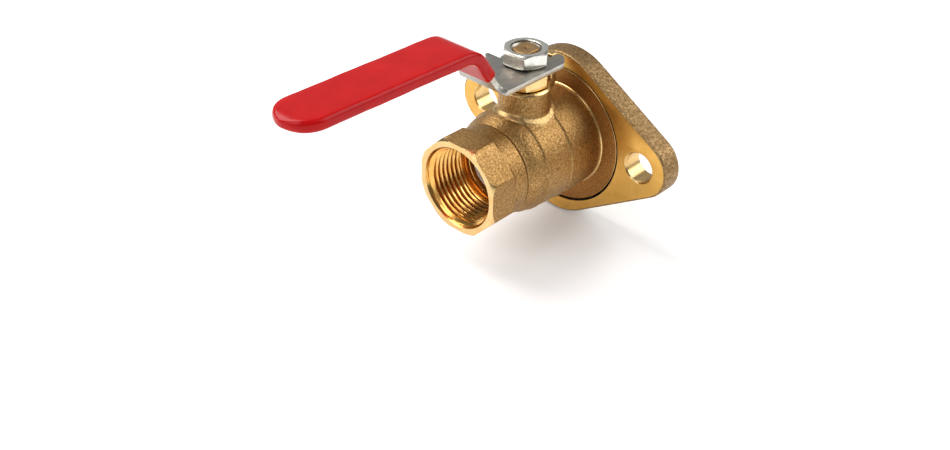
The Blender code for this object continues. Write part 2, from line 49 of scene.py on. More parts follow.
# ------------------------------------------------------------------ materials
class Nodes:
    """A small helper that adds and links shader nodes."""

    def __init__(self, name):
        self.mat = bpy.data.materials.new(name)
        self.mat.use_nodes = True
        self.tree = self.mat.node_tree
        self.tree.nodes.clear()
        self.out = self.tree.nodes.new("ShaderNodeOutputMaterial")
        self.bsdf = self.tree.nodes.new("ShaderNodeBsdfPrincipled")
        self.tree.links.new(self.bsdf.outputs[0], self.out.inputs["Surface"])
        self.where = self.add("ShaderNodeTexCoord").outputs["Object"]

    def add(self, kind, **values):
        node = self.tree.nodes.new(kind)
        for key, value in values.items():
            setattr(node, key, value)
        return node

    def link(self, a, b):
        self.tree.links.new(a, b)

    def noise(self, scale, detail=2.0, rough=0.5, distort=0.0, vector=None):
        node = self.add("ShaderNodeTexNoise")
        node.inputs["Scale"].default_value = scale
        node.inputs["Detail"].default_value = detail
        node.inputs["Roughness"].default_value = rough
        node.inputs["Distortion"].default_value = distort
        self.link(vector or self.where, node.inputs["Vector"])
        return node.outputs["Fac"]

    def voronoi(self, scale, vector=None):
        node = self.add("ShaderNodeTexVoronoi")
        node.inputs["Scale"].default_value = scale
        self.link(vector or self.where, node.inputs["Vector"])
        return node.outputs["Distance"]

    def scaled(self, x, y, z):
        node = self.add("ShaderNodeVectorMath", operation="MULTIPLY")
        self.link(self.where, node.inputs[0])
        node.inputs[1].default_value = (x, y, z)
        return node.outputs[0]

    def rings(self, axis, spacing_mm, distort=0.0):
        node = self.add("ShaderNodeTexWave", wave_type="RINGS", rings_direction=axis)
        node.inputs["Scale"].default_value = 0.314 / (spacing_mm * MM)
        node.inputs["Distortion"].default_value = distort
        node.inputs["Detail"].default_value = 2.0
        node.inputs["Detail Scale"].default_value = 1.5
        self.link(self.where, node.inputs["Vector"])
        return node.outputs["Fac"]

    def ramp(self, value, stops):
        node = self.add("ShaderNodeValToRGB")
        ramp = node.color_ramp
        while len(ramp.elements) < len(stops):
            ramp.elements.new(0.5)
        for element, (at, colour) in zip(ramp.elements, stops):
            element.position = at
            element.color = (*colour, 1.0)
        self.link(value, node.inputs["Fac"])
        return node.outputs["Color"]

    def span(self, value, low, high, to_low, to_high):
        node = self.add("ShaderNodeMapRange")
        self.link(value, node.inputs["Value"])
        for key, number in (("From Min", low), ("From Max", high), ("To Min", to_low), ("To Max", to_high)):
            node.inputs[key].default_value = number
        return node.outputs["Result"]

    def math(self, operation, a, b):
        node = self.add("ShaderNodeMath", operation=operation)
        for slot, value in zip(node.inputs, (a, b)):
            if isinstance(value, (int, float)):
                slot.default_value = value
            else:
                self.link(value, slot)
        return node.outputs[0]

    def mix(self, factor, a, b, blend="MIX"):
        node = self.add("ShaderNodeMix", data_type="RGBA", blend_type=blend)
        if isinstance(factor, (int, float)):
            node.inputs[0].default_value = factor
        else:
            self.link(factor, node.inputs[0])
        for slot, value in ((node.inputs[6], a), (node.inputs[7], b)):
            if isinstance(value, tuple):
                slot.default_value = (*value, 1.0)
            else:
                self.link(value, slot)
        return node.outputs[2]

    def bump(self, height, strength, distance_mm, before=None):
        node = self.add("ShaderNodeBump")
        node.inputs["Strength"].default_value = strength
        node.inputs["Distance"].default_value = distance_mm * MM
        self.link(height, node.inputs["Height"])
        if before is not None:
            self.link(before, node.inputs["Normal"])
        return node.outputs["Normal"]

    def finish(self, colour=None, rough=None, normal=None, **plain):
        if colour is not None:
            self.link(colour, self.bsdf.inputs["Base Color"])
        if rough is not None:
            self.link(rough, self.bsdf.inputs["Roughness"])
        if normal is not None:
            self.link(normal, self.bsdf.inputs["Normal"])
        for key, value in plain.items():
            self.bsdf.inputs[key.replace("_", " ")].default_value = value
        return self.mat


def blasted_brass(name, dark, mid, light, rough=0.46, grain=1.0, strength=0.55):
    """Grit-blasted casting: fine pits, speckled tone, and slow patches of patina."""
    n = Nodes(name)
    fine = n.noise(2300 * grain, 2.0, 0.6)
    coarse = n.noise(1450 * grain, 3.0, 0.65)
    patch = n.noise(70, 3.0, 0.55, 0.4)
    pits = n.voronoi(1500 * grain)
    tone = n.math("ADD", n.math("MULTIPLY", fine, 0.45), n.math("MULTIPLY", coarse, 0.55))
    colour = n.ramp(tone, [(0.30, dark), (0.50, mid), (0.70, light)])
    shade = n.ramp(patch, [(0.30, (0.88, 0.86, 0.82)), (0.55, (1.0, 1.0, 1.0)), (0.75, (1.06, 1.05, 1.02))])
    colour = n.mix(1.0, colour, shade, "MULTIPLY")
    height = n.math("ADD", n.math("MULTIPLY", coarse, 0.7), n.math("MULTIPLY", pits, 0.6))
    normal = n.bump(height, strength, 0.22)
    rough_map = n.span(tone, 0.3, 0.7, rough + 0.10, rough - 0.06)
    return n.finish(colour, rough_map, normal, Metallic=1.0)


def machined_brass(name, base, warm, axis="X", rough=0.24, spacing=0.55, strength=0.25):
    """Turned or faced brass: fine tool rings, a little tarnish, small handling marks."""
    n = Nodes(name)
    rings = n.rings(axis, spacing, 0.6)
    tarnish = n.noise(110, 3.0, 0.6, 0.6)
    speck = n.noise(1700, 2.0, 0.5)
    colour = n.ramp(tarnish, [(0.30, warm), (0.62, base)])
    colour = n.mix(0.25, colour, n.ramp(speck, [(0.35, (0.72, 0.66, 0.55)), (0.6, (1.0, 1.0, 1.0))]), "MULTIPLY")
    height = n.math("ADD", n.math("MULTIPLY", rings, 0.5), n.math("MULTIPLY", speck, 0.5))
    normal = n.bump(height, strength, 0.03)
    rough_map = n.span(tarnish, 0.3, 0.7, rough + 0.09, rough - 0.03)
    return n.finish(colour, rough_map, normal, Metallic=1.0)


def plated_steel(name, dark, light, rough, stretch=(1.0, 1.0, 1.0), strength=0.2, patina=None):
    """Zinc-plated sheet or bright steel with fine directional marks."""
    n = Nodes(name)
    lines = n.noise(900, 3.0, 0.6, 0.0, n.scaled(*stretch))
    cloud = n.noise(140, 3.0, 0.6, 0.5)
    speck = n.noise(2600, 2.0, 0.5)
    tone = n.math("ADD", n.math("MULTIPLY", lines, 0.6), n.math("MULTIPLY", cloud, 0.4))
    colour = n.ramp(tone, [(0.32, dark), (0.64, light)])
    if patina:
        colour = n.mix(n.span(cloud, 0.45, 0.75, 0.0, 0.55), colour, patina)
    normal = n.bump(n.math("ADD", n.math("MULTIPLY", lines, 0.7), n.math("MULTIPLY", speck, 0.4)), strength, 0.05)
    rough_map = n.span(tone, 0.3, 0.7, rough + 0.08, rough - 0.05)
    return n.finish(colour, rough_map, normal, Metallic=1.0)


def dipped_vinyl(name):
    """Glossy dipped vinyl: deep red, soft flow waves, faint dust of fine texture."""
    n = Nodes(name)
    flow = n.noise(95, 2.0, 0.5, 0.3)
    peel = n.noise(620, 2.0, 0.5)
    colour = n.ramp(flow, [(0.30, (0.44, 0.004, 0.005)), (0.60, (0.49, 0.005, 0.006)), (0.80, (0.53, 0.007, 0.008))])
    height = n.math("ADD", n.math("MULTIPLY", flow, 1.0), n.math("MULTIPLY", peel, 0.12))
    normal = n.bump(height, 0.25, 0.35)
    rough_map = n.span(peel, 0.3, 0.7, 0.20, 0.27)
    return n.finish(colour, rough_map, normal, Metallic=0.0, Specular_IOR_Level=0.15, Coat_Weight=0.03, Coat_Roughness=0.12)


def soft_seal(name, dark, light, rough, scale=1200):
    n = Nodes(name)
    grain = n.noise(scale, 3.0, 0.6)
    cloud = n.noise(160, 2.0, 0.5)
    colour = n.ramp(n.math("ADD", n.math("MULTIPLY", grain, 0.4), n.math("MULTIPLY", cloud, 0.6)), [(0.35, dark), (0.65, light)])
    normal = n.bump(grain, 0.2, 0.06)
    return n.finish(colour, n.span(grain, 0.3, 0.7, rough - 0.05, rough + 0.08), normal, Metallic=0.0)


def chrome_plate(name):
    n = Nodes(name)
    polish = n.rings("X", 0.4, 0.3)
    cloud = n.noise(200, 3.0, 0.5)
    colour = n.ramp(cloud, [(0.3, (0.66, 0.67, 0.68)), (0.7, (0.78, 0.78, 0.79))])
    normal = n.bump(polish, 0.05, 0.01)
    return n.finish(colour, n.span(cloud, 0.3, 0.7, 0.07, 0.13), normal, Metallic=1.0)


BLASTED = blasted_brass("blasted_brass", (0.16, 0.085, 0.026), (0.40, 0.230, 0.080), (0.68, 0.43, 0.18), grain=0.85, strength=0.7)
DISC = blasted_brass("hub_face_brass", (0.17, 0.068, 0.017), (0.36, 0.165, 0.044), (0.50, 0.26, 0.078), rough=0.42, strength=0.45)
EDGE = blasted_brass("flange_edge_brass", (0.13, 0.075, 0.032), (0.32, 0.20, 0.088), (0.56, 0.39, 0.20), rough=0.5, grain=0.62, strength=0.9)
MACHINED = machined_brass("turned_brass", (0.80, 0.57, 0.27), (0.74, 0.48, 0.185))
THREAD = machined_brass("thread_brass", (0.88, 0.54, 0.17), (0.80, 0.39, 0.085), rough=0.2, spacing=0.5, strength=0.12)
FRONT = machined_brass("flange_face_brass", (0.78, 0.455, 0.115), (0.68, 0.375, 0.082), rough=0.3, spacing=0.7, strength=0.2)
GLAND = machined_brass("gland_brass", (0.86, 0.63, 0.29), (0.78, 0.52, 0.20), axis="Z", rough=0.2, spacing=0.35)
STEM_END = machined_brass("stem_brass", (0.56, 0.35, 0.155), (0.40, 0.23, 0.095), axis="Z", rough=0.38, spacing=0.4, strength=0.35)
INSIDE = machined_brass("inside_brass", (0.58, 0.35, 0.115), (0.46, 0.26, 0.08), rough=0.36, spacing=0.6)
PORT = machined_brass("ball_port_brass", (0.42, 0.22, 0.07), (0.30, 0.15, 0.045), rough=0.42, spacing=0.8)
ZINC = plated_steel("zinc_sheet", (0.32, 0.30, 0.26), (0.50, 0.475, 0.42), 0.36, (0.25, 1.0, 1.0), 0.2, (0.28, 0.28, 0.29))
SHEARED = plated_steel("sheared_edge", (0.38, 0.365, 0.325), (0.68, 0.66, 0.60), 0.34, (0.4, 0.4, 2.2), 0.6)
BRIGHT = plated_steel("bright_nut_steel", (0.70, 0.68, 0.61), (0.90, 0.885, 0.82), 0.22, (1.0, 1.0, 0.3), 0.18)
VINYL = dipped_vinyl("dipped_red_vinyl")
# Lighter brass for the neck ledge: a painted highlight, standing for the overhead light that the up-facing ledge
# reflects.
LEDGE_HIGHLIGHT = blasted_brass("neck_ledge_painted_highlight", (0.34, 0.21, 0.08), (0.58, 0.39, 0.165), (0.80, 0.58, 0.29), rough=0.40, strength=0.35)
GAP = soft_seal("gap_shadow", (0.006, 0.005, 0.004), (0.016, 0.012, 0.009), 0.7)
SEAT = soft_seal("white_seat", (0.74, 0.74, 0.70), (0.86, 0.86, 0.83), 0.45)
PACKING = soft_seal("white_packing", (0.68, 0.68, 0.64), (0.84, 0.84, 0.80), 0.55)
WASHER = soft_seal("tan_washer", (0.40, 0.35, 0.27), (0.55, 0.50, 0.41), 0.5)
RUBBER = soft_seal("black_nitrile", (0.010, 0.010, 0.010), (0.028, 0.028, 0.028), 0.55)
CHROME = chrome_plate("ball_plating")


# --------------------------------------------------------------- mesh helpers
def new_object(name, verts, faces, mats, face_mats=None, sharp=32):
    mesh = bpy.data.meshes.new(name)
    mesh.from_pydata([Vector(v) * MM for v in verts], [], faces)
    for mat in mats:
        mesh.materials.append(mat)
    if face_mats:
        mesh.polygons.foreach_set("material_index", face_mats)
    bm = bmesh.new()
    bm.from_mesh(mesh)
    bmesh.ops.remove_doubles(bm, verts=bm.verts, dist=2e-7)
    bmesh.ops.recalc_face_normals(bm, faces=bm.faces)
    bm.to_mesh(mesh)
    bm.free()
    mesh.shade_smooth()
    mesh.set_sharp_from_angle(angle=math.radians(sharp))
    obj = bpy.data.objects.new(name, mesh)
    bpy.context.scene.collection.objects.link(obj)
    return obj


def turn_about(axis, centre, along, radius, angle):
    c, s = radius * math.cos(angle), radius * math.sin(angle)
    if axis == "X":
        return (along, centre[1] + c, centre[2] + s)
    return (centre[0] + c, centre[1] + s, along)


def even(count, offset=0.0):
    return [offset + TAU * k / count for k in range(count)]


def lathe(name, axis, centre, rings, angles, closed, mats, sharp=32):
    """Turned or lofted mesh. A ring is (along, radius, material of the band to the next ring)."""
    verts, faces, which = [], [], []
    count = len(angles)
    for ring in rings:
        for angle in angles:
            a = ring[0](angle) if callable(ring[0]) else ring[0]
            r = ring[1](angle) if callable(ring[1]) else ring[1]
            verts.append(turn_about(axis, centre, a, r, angle))
    pairs = [(i, i + 1) for i in range(len(rings) - 1)]
    if closed:
        pairs.append((len(rings) - 1, 0))
    for i, j in pairs:
        m = rings[i][2] if len(rings[i]) > 2 else 0
        for k in range(count):
            n = (k + 1) % count
            faces.append((i * count + k, i * count + n, j * count + n, j * count + k))
            which.append(m)
    if not closed:
        faces.append(tuple(range(count)))
        faces.append(tuple((len(rings) - 1) * count + k for k in range(count)))
        which += [rings[0][2] if len(rings[0]) > 2 else 0, rings[-1][2] if len(rings[-1]) > 2 else 0]
    return new_object(name, verts, faces, mats, which, sharp)


def soften(points, closed=False, steps=4):
    """Rounds the corners of a profile. A point is (along, radius, corner radius, band material)."""
    out, n = [], len(points)
    for i, (a, r, f, m) in enumerate(points):
        if f <= 0 or (not closed and i in (0, n - 1)):
            out.append((a, r, m))
            continue
        p, q, s = Vector(points[i - 1][:2]), Vector((a, r)), Vector(points[(i + 1) % n][:2])
        u, v = (p - q).normalized(), (s - q).normalized()
        turn = u.angle(v)
        if turn > 3.05:
            out.append((a, r, m))
            continue
        cut = min(f / math.tan(turn / 2), 0.48 * (p - q).length, 0.48 * (s - q).length)
        radius = cut * math.tan(turn / 2)
        centre = q + (u + v).normalized() * math.hypot(cut, radius)
        start, end = q + u * cut - centre, q + v * cut - centre
        sweep = start.angle_signed(end)
        for k in range(steps + 1):
            w = Matrix.Rotation(-sweep * k / steps, 2) @ start
            out.append((centre.x + w.x, centre.y + w.y, m))
    return out


def curve_through(knots, step):
    """Smooth points through (along, radius) knots, no more than the step apart."""
    out = []
    for i in range(len(knots) - 1):
        p0 = Vector(knots[max(i - 1, 0)])
        p1, p2 = Vector(knots[i]), Vector(knots[i + 1])
        p3 = Vector(knots[min(i + 2, len(knots) - 1)])
        count = max(1, math.ceil((p2 - p1).length / step))
        for k in range(count):
            t = k / count
            m1, m2 = (p2 - p0) / 2, (p3 - p1) / 2
            h = (2 * t**3 - 3 * t**2 + 1) * p1 + (t**3 - 2 * t**2 + t) * m1 + (-2 * t**3 + 3 * t**2) * p2 + (t**3 - t**2) * m2
            out.append((h.x, h.y))
    out.append(tuple(knots[-1]))
    return out


def polygon_radius(inradius, sides, offset, corner=None):
    step = TAU / sides

    def radius(angle):
        away = (angle - offset + step / 2) % step - step / 2
        r = inradius / math.cos(away)
        return min(r, corner) if corner else r

    return radius


def cut_with(obj, tool, operation="DIFFERENCE"):
    mod = obj.modifiers.new(operation, "BOOLEAN")
    mod.operation = operation
    mod.solver = "EXACT"
    mod.object = tool
    settle(obj)
    bpy.data.objects.remove(tool, do_unlink=True)


def settle(obj, sharp=None):
    """Applies the object's modifiers to its mesh."""
    graph = bpy.context.evaluated_depsgraph_get()
    mesh = bpy.data.meshes.new_from_object(obj.evaluated_get(graph), preserve_all_data_layers=True, depsgraph=graph)
    old = obj.data
    obj.modifiers.clear()
    obj.data = mesh
    if old.users == 0:
        bpy.data.meshes.remove(old)
    if sharp:
        mesh.shade_smooth()
        mesh.set_sharp_from_angle(angle=math.radians(sharp))


def paint(obj, choose):
    """Gives each face the slot that choose(centre in mm, normal) names."""
    for face in obj.data.polygons:
        face.material_index = choose(face.center / MM, face.normal)


def slots(obj, mats):
    obj.data.materials.clear()
    for mat in mats:
        obj.data.materials.append(mat)


def soften_edges(obj, width_mm, segments=2, angle=40):
    mod = obj.modifiers.new("Soft edges", "BEVEL")
    mod.width = width_mm * MM
    mod.segments = segments
    mod.limit_method = "ANGLE"
    mod.angle_limit = math.radians(angle)
    mod.harden_normals = False
    mod.use_clamp_overlap = True
    settle(obj)


def keep(obj, body, slot, *nodes):
    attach(obj, body)
    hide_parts(*nodes)
    return obj


# --------------------------------------------------------------- valve body
BARREL = [
    (10.05, 21.38), (11.2, 21.5), (13.0, 21.6), (17.7, 21.7), (22.0, 21.68), (26.1, 21.66), (26.5, 21.74), (26.85, 21.52), (27.2, 21.34), (30.0, 21.28), (34.5, 21.2),
    (39.3, 20.96), (39.9, 21.04), (40.3, 21.02), (40.7, 20.76), (41.3, 20.58), (44.3, 20.12), (46.5, 19.4), (48.0, 18.85), (48.9, 18.62),
]


def barrel_radius(x):
    for (x0, r0), (x1, r1) in zip(BARREL, BARREL[1:]):
        if x <= x1:
            return r0 + (r1 - r0) * (x - x0) / (x1 - x0)
    return BARREL[-1][1]


def valve_body():
    profile = [(0.0, 13.0, 0, 0), (0.0, 15.0, 0, 0)]
    radius = 15.6
    while radius < 29.5:  # shallow gasket-gripping rings on the sealing face
        profile += [(0.0, radius, 0, 0), (0.28, radius + 0.35, 0, 0), (0.28, radius + 0.75, 0, 0), (0.0, radius + 1.1, 0, 0)]
        radius += 2.3
    profile += [
        (0.0, 31.25, 0.0, 0),
        (0.5, 31.75, 0.3, 0),
        (4.6, 31.75, 0.25, 0),
        (4.6, 29.0, 0, 0),
        (6.3, 29.0, 0, 0),
        (6.3, 28.15, 0, 0),
        (7.7, 28.15, 0, 0),
        (7.7, 29.0, 0, 0),
        (9.5, 29.0, 0.28, 0),
        (9.5, 22.15, 0.12, 0),
        (9.78, 22.0, 0.08, 0),
        (9.88, 21.9, 0.06, 0),
        (9.95, 21.45, 0.04, 0),
    ]
    rings = soften(profile, steps=3)
    rings += [(x, r, 0) for x, r in curve_through(BARREL, 0.6)]
    rings += [(49.07, 18.5, 0), (49.1, 18.35, 0), (49.1, 17.6, 0)]
    body = lathe("valve_body_casting", "X", AXIS, rings, even(160, 0.01), False, [BLASTED])
    # The neck, with a narrow ledge that follows the barrel all round its root.
    neck_r, ledge = 10.13, 11.85
    angles = even(96, 0.005)

    def on_barrel(r):
        return lambda a: math.sqrt(barrel_radius(STEM_X + r * math.cos(a)) ** 2 - (r * math.sin(a)) ** 2)

    def above(r, lift):
        base = on_barrel(r)
        return lambda a: base(a) + lift

    loft = [(12.0, ledge + 0.35, 0), (above(ledge + 0.35, -0.35), ledge + 0.35, 0)]
    for r, lift in ((ledge + 0.35, -0.05), (ledge + 0.16, 0.10), (ledge + 0.02, 0.32), (ledge - 0.2, 0.52), (ledge - 0.5, 0.68), (ledge - 0.85, 0.84), (ledge - 1.2, 1.0), (neck_r + 0.24, 1.14), (neck_r + 0.08, 1.4), (neck_r, 1.9)):
        loft.append((above(r, lift), r, 0))
    loft += [(26.0, neck_r, 0), (28.5, neck_r, 0), (29.55, neck_r, 0), (29.7, neck_r - 0.06, 0), (30.32, neck_r - 0.66, 0), (30.4, neck_r - 0.8, 0), (30.4, neck_r - 1.5, 0)]
    cut_with(body, lathe("neck", "Z", STEM, loft, angles, False, [BLASTED]), "UNION")
    side = [(-8.6, 22.4), (-12.3, 26.3), (-13.7, 28.2), (-13.7, 40.2), (-10.25, 40.2), (-10.25, 30.2), (-9.6, 28.8), (-8.6, 28.8)]
    n = len(side)
    verts = [(STEM_X + x, y, z) for y in (-4.3, 4.3) for x, z in side]
    faces = [tuple(range(n)), tuple(range(n, 2 * n))] + [(k, (k + 1) % n, n + (k + 1) % n, n + k) for k in range(n)]
    lug = new_object("lug", verts, faces, [BLASTED])
    soften_edges(lug, 0.7, 4, 30)
    cut_with(body, lug, "UNION")
    # A small casting nub on the barrel's side
    reach, turn = barrel_radius(34.9) - 0.02, math.radians(7.0)
    nub = lathe("nub", "X", (0, reach * math.cos(turn), reach * math.sin(turn)), [(34.4, 0.05, 0), (34.5, 0.42, 0), (34.75, 0.58, 0), (35.05, 0.58, 0), (35.3, 0.42, 0), (35.4, 0.05, 0)], even(20), False, [BLASTED])
    cut_with(body, nub, "UNION")
    bore = soften([(-1.0, 13.6, 0, 0), (0.6, 12.0, 0.2, 0), (15.7, 12.0, 0, 0), (15.7, 15.3, 0.2, 0), (22.2, 15.3, 0.1, 0), (22.2, 17.1, 0.4, 0), (48.6, 17.1, 0.1, 0), (50.1, 18.2, 0, 0)])
    cut_with(body, lathe("bore", "X", AXIS, bore, even(120, 0.02), False, [BLASTED]))
    gland = [(10.0, 7.0, 0), (21.0, 7.0, 0), (21.0, 5.35, 0), (23.4, 5.35, 0), (23.4, 7.4, 0), (30.1, 7.4, 0), (31.0, 8.2, 0)]
    cut_with(body, lathe("gland_bore", "Z", STEM, gland, even(72, 0.01), False, [BLASTED]))
    body.data.shade_smooth()
    body.data.set_sharp_from_angle(angle=math.radians(34))
    slots(body, [BLASTED, DISC, MACHINED, INSIDE, GAP, LEDGE_HIGHLIGHT])

    def faces_up_for_highlight(n):
        return n.z > 0.15

    def choose(c, n):
        r = math.hypot(c.y, c.z)
        about_stem = math.hypot(c.x - STEM_X, c.y)
        if c.x < 0.5 or (r > 31.2):
            return 2
        if 4.5 < c.x < 9.3 and r > 27.5:
            return 4
        if c.x < 9.45 and r > 27.5:
            return 2
        # Up-facing faces of the ledge round the neck root take the lighter brass: a painted highlight of the light from
        # above.
        if 10.2 < about_stem < 12.15 and c.z > 14.0:
            lift = c.z - math.sqrt(max(barrel_radius(c.x) ** 2 - c.y**2, 0.0))
            if 0.05 < lift < 1.3 and faces_up_for_highlight(n):
                return 5
        if c.z > 29.45 and about_stem < 10.2:
            return 2
        if c.z > 17.0 and about_stem < 7.6:
            return 3
        if r < 17.25 and c.z < 17.5:
            return 3
        if 9.52 < c.x < 9.93 and 21.6 < r < 22.4:
            return 2
        if c.x < 9.62 and r > 21.5:
            return 1
        if c.x > 49.0:
            return 2
        return 0

    paint(body, choose)
    return keep(body, "valve_body", "blasted_brass", "valve_body")


# --------------------------------------------------------------- threaded end
PITCH = 25.4 / 11.5


def end_adapter():
    angles = even(224, math.radians(0.8))
    octagon = polygon_radius(18.6, 8, math.pi / 2, 19.98)

    def blend(t):
        ease = t * t * (3 - 2 * t)
        return lambda a: 18.55 + (octagon(a) - 18.55) * ease

    def chamfer(drop):
        return lambda a: 69.0 - max(octagon(a) - 18.9, 0.08) * drop

    def thread(x):
        """Radius of the internal taper thread, with its phase turning once a pitch."""
        core = 15.45 + (x - 67.5) * math.tan(math.radians(1.79))
        fade = min(1.0, max(0.0, (x - 50.2) / 2.4))

        def radius(a):
            phase = (x / PITCH - a / TAU) % 1.0
            wave = 1 - abs(2 * phase - 1)  # 0 at the root, 1 at the crest
            wave = min(max((wave - 0.06) / 0.88, 0.0), 1.0)
            deep = 1.55 * (wave - 0.5)
            flare = 16.6 - (69.0 - x) * 0.45 if x > 67.6 else 15.97 - (67.6 - x) * 1.4
            return max(core - deep * fade - (0.35 * (1 - fade)), flare)

        return radius

    rings = soften([
        (41.0, 15.3, 0.0, 1),
        (41.0, 16.8, 0.4, 1),
        (47.6, 16.8, 0, 1),
        (47.6, 15.6, 0, 1),
        (49.0, 15.6, 0, 1),
        (49.4, 16.8, 0, 1),
        (49.4, 18.55, 0.3, 0),
        (55.4, 18.55, 0, 0),
    ], steps=3)
    rings += [(55.6 + 2.0 * k / 8, blend(k / 8), 0) for k in range(1, 9)]
    rings += [(59.0, octagon, 0), (62.0, octagon, 0), (65.0, octagon, 0)]
    rings += [(chamfer(1.1), octagon, 1), (chamfer(1.0), lambda a: octagon(a) - 0.06, 1), (68.97, lambda a: min(octagon(a) - 0.09, 18.93), 1), (69.0, lambda a: min(octagon(a) - 0.16, 18.85), 1), (69.0, 17.7, 1), (69.0, 16.64, 1)]
    x = 68.94
    while x > 49.9:
        rings.append((x, thread(x), 2))
        x -= 0.17
    rings += [(49.6, 14.2, 2), (49.5, 12.4, 2), (49.3, 12.0, 2), (47.5, 12.0, 2), (47.5, 15.3, 2)]
    end = lathe("end_adapter_turned", "X", AXIS, rings, angles, True, [BLASTED, MACHINED, THREAD], 38)
    return keep(end, "valve_body", "adapter_brass", "end_adapter")


# --------------------------------------------------------------- pump flange
def flange_outline(inset, fine=6):
    half, waist_z, ear, waist = 40.1, 11.6, 12.75 - inset, 24.0 - inset
    reach = math.hypot(half, waist_z)
    normal = math.atan2(waist_z, -half) - math.acos((ear - waist) / reach)
    circles = [(half, 0, ear), (0, waist_z, waist), (-half, 0, ear), (0, -waist_z, waist)]
    spans = [(-normal, normal, 8 * fine), (normal, math.pi - normal, 10 * fine), (math.pi - normal, math.pi + normal, 8 * fine), (math.pi + normal, TAU - normal, 10 * fine)]
    points = []
    for (cy, cz, r), (a0, a1, count) in zip(circles, spans):
        for k in range(count + 1):
            a = a0 + (a1 - a0) * k / count
            points.append((cy + r * math.cos(a), cz + r * math.sin(a)))
    # The straight sides get points too, so the edge keeps an even mesh.
    out = []
    for p, q in zip(points, points[1:] + points[:1]):
        gap = math.hypot(q[0] - p[0], q[1] - p[1])
        steps = max(1, round(gap / 2.0))
        out += [(p[0] + (q[0] - p[0]) * k / steps, p[1] + (q[1] - p[1]) * k / steps) for k in range(steps)]
    return out


def pump_flange():
    n = len(flange_outline(0.0))
    levels = [(0.65, 0.55), (0.78, 0.22), (1.05, 0.05), (1.5, 0.0)] + [(2.4 + 1.05 * k, 0.0) for k in range(6)] + [(8.85, 0.02), (9.25, 0.10), (9.55, 0.28), (9.72, 0.52), (9.8, 0.78)]
    verts, faces = [], []
    for x, inset in levels:
        outline = flange_outline(inset)
        verts += [(x, y, z) for y, z in outline]
    for i in range(len(levels) - 1):
        faces += [(i * n + k, i * n + (k + 1) % n, (i + 1) * n + (k + 1) % n, (i + 1) * n + k) for k in range(n)]
    faces += [tuple(range(n)), tuple((len(levels) - 1) * n + k for k in range(n))]
    flange = new_object("pump_flange_plate", verts, faces, [EDGE])
    bore = [(-0.2, 32.95, 0), (0.65, 32.5, 0), (1.0, 32.1, 0), (4.95, 32.1, 0), (4.95, 29.7, 0), (9.4, 29.7, 0), (9.8, 29.92, 0), (10.8, 30.5, 0)]
    cut_with(flange, lathe("centre", "X", AXIS, bore, even(180, 0.013), False, [EDGE]))
    for side in (1, -1):
        hole = [(-0.3, 7.6, 0), (0.65, 6.65, 0), (1.1, 6.2, 0), (9.25, 6.2, 0), (9.8, 6.7, 0), (10.6, 7.5, 0)]
        cut_with(flange, lathe("bolt_hole", "X", (0.0, side * 40.1, 0.0), hole, even(72, 0.01), False, [EDGE]))
    flange.data.shade_smooth()
    flange.data.set_sharp_from_angle(angle=math.radians(32))
    slots(flange, [EDGE, FRONT, MACHINED, GAP])

    def choose(c, nrm):
        r = math.hypot(c.y, c.z)
        hole = math.hypot(abs(c.y) - 40.1, c.z)
        if r < 29.85 and 4.9 < c.x < 9.5:
            return 3
        if r < 32.3 and 0.7 < c.x < 9.76:
            return 2
        if hole < 6.9 and c.x < 9.78:
            return 2
        if abs(nrm.x) > 0.97:
            return 1
        return 0

    paint(flange, choose)
    return keep(flange, "pump_flange", "flange_brass", "pump_flange")


# --------------------------------------------------------------- ball and seats
def ball():
    radius, port, soft = 16.8, 11.2, 0.7
    edge = math.acos((port + soft) / radius)
    arc = [(STEM_X + radius * math.sin(-edge + 2 * edge * k / 64), radius * math.cos(-edge + 2 * edge * k / 64), 0) for k in range(65)]
    tip = radius * math.sin(edge)
    lip = [(STEM_X + tip + 0.25, port + 0.32, 0), (STEM_X + tip - 0.05, port + 0.05, 0), (STEM_X + tip - 0.6, port, 1)]
    lip = [(min(x, STEM_X + 12.5), r, m) for x, r, m in lip]
    other = [(2 * STEM_X - x, r, 0) for x, r, _ in reversed(lip)]
    sphere = lathe("ball_turned", "X", STEM, arc + lip + other, even(144), True, [CHROME, CHROME], 40)
    verts = [(STEM_X + x, y, z) for z in (12.8, 20.0) for x, y in ((-2.9, -14), (2.9, -14), (2.9, 14), (-2.9, 14))]
    slot = new_object("slot", verts, [(0, 1, 2, 3), (4, 5, 6, 7), (0, 1, 5, 4), (1, 2, 6, 5), (2, 3, 7, 6), (3, 0, 4, 7)], [CHROME])
    cut_with(sphere, slot)
    soften_edges(sphere, 0.25, 2, 50)
    slots(sphere, [CHROME, PORT])
    paint(sphere, lambda c, nrm: 1 if math.hypot(c.y, c.z) < 11.6 else 0)
    sphere.data.shade_smooth()
    sphere.data.set_sharp_from_angle(angle=math.radians(38))
    keep(sphere, "handle", "plated_ball", "ball")


def seats():
    clear = 16.8 + 0.5
    a, b = math.sqrt(clear**2 - 11.6**2), math.sqrt(clear**2 - 15.0**2)
    for side, node in ((-1, "seat_ring_pump_side"), (1, "seat_ring_pipe_side")):
        loop = [(a, 11.6, 0.2, 0), (b, 15.0, 0.2, 0), (15.6, 15.0, 0.3, 0), (15.6, 11.6, 0.3, 0)]
        rings = [(STEM_X + side * x, r, m) for x, r, m in soften(loop, True, 3)]
        seat = lathe(node + "_turned", "X", AXIS, rings, even(120), True, [SEAT], 40)
        keep(seat, "valve_body", "seat_polymer", node)


